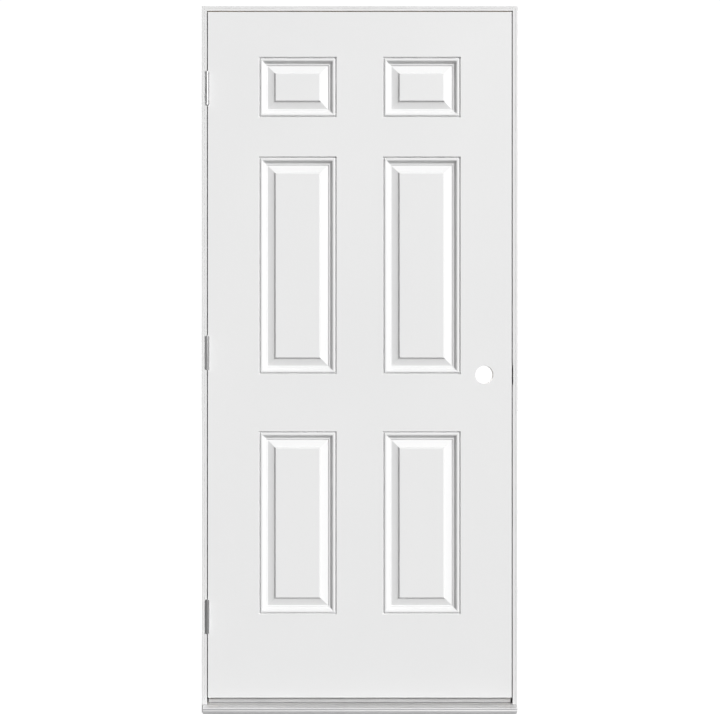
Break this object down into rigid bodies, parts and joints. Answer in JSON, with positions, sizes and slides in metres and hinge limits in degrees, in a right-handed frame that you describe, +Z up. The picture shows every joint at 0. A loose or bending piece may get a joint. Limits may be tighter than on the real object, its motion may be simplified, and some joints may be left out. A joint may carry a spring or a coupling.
{
  "type": "panelled front door with frame",
  "caption": "Prehung outward-opening entry door: a white primed steel leaf with raised panels, hung on butt hinges in a rabbeted frame with an aluminium sill and a bored lock hole.",
  "frame": {"origin": "on the floor, at the middle of the frame's width and of its depth with the sill's nose", "axes": "+Z up, +X from the hinge side to the lock side, +Y from outdoors to indoors; the leaf opens towards -Y"},
  "size_m": [0.9346, 0.143, 2.0911],
  "materials": {
    "primed_wood": "satin",
    "mill_aluminium": "satin",
    "sill_composite": "matte",
    "vinyl_seal": "matte",
    "foam_weatherstrip": "matte",
    "zinc_screws": "satin",
    "satin_hinge_steel": "satin",
    "primed_steel": "satin",
    "insulating_foam": "matte",
    "raw_pine": "matte"
  },
  "bodies": {
    "frame": {"hinge_jamb": "primed_wood", "strike_jamb": "primed_wood", "head_jamb": "primed_wood", "sill_cap": "mill_aluminium", "sill_substrate": "sill_composite", "sill_bumper_seal": "vinyl_seal", "hinge_side_weatherstrip": "foam_weatherstrip", "strike_side_weatherstrip": "foam_weatherstrip", "head_weatherstrip": "foam_weatherstrip", "frame_corner_screws": "zinc_screws", "sill_screws": "zinc_screws", "hinge_jamb_screws": "zinc_screws", "top_hinge_jamb_leaf": "satin_hinge_steel", "middle_hinge_jamb_leaf": "satin_hinge_steel", "bottom_hinge_jamb_leaf": "satin_hinge_steel", "top_hinge_pin": "satin_hinge_steel", "middle_hinge_pin": "satin_hinge_steel", "bottom_hinge_pin": "satin_hinge_steel"},
    "door": {"outer_steel_skin": "primed_steel", "inner_steel_skin": "primed_steel", "foam_core": "insulating_foam", "hinge_stile": "raw_pine", "lock_stile": "raw_pine", "top_rail": "raw_pine", "bottom_rail": "sill_composite", "lock_block": "raw_pine", "bottom_sweep": "vinyl_seal", "top_hinge_door_leaf": "satin_hinge_steel", "middle_hinge_door_leaf": "satin_hinge_steel", "bottom_hinge_door_leaf": "satin_hinge_steel", "hinge_door_screws": "zinc_screws"}
  },
  "joints": [
    {"name": "door_swing", "type": "hinge", "parent": "frame", "child": "door", "pos_m": [-0.4513, -0.0525, 1], "axis": [0, 0, -1], "range_deg": [0, 180]}
  ]
}
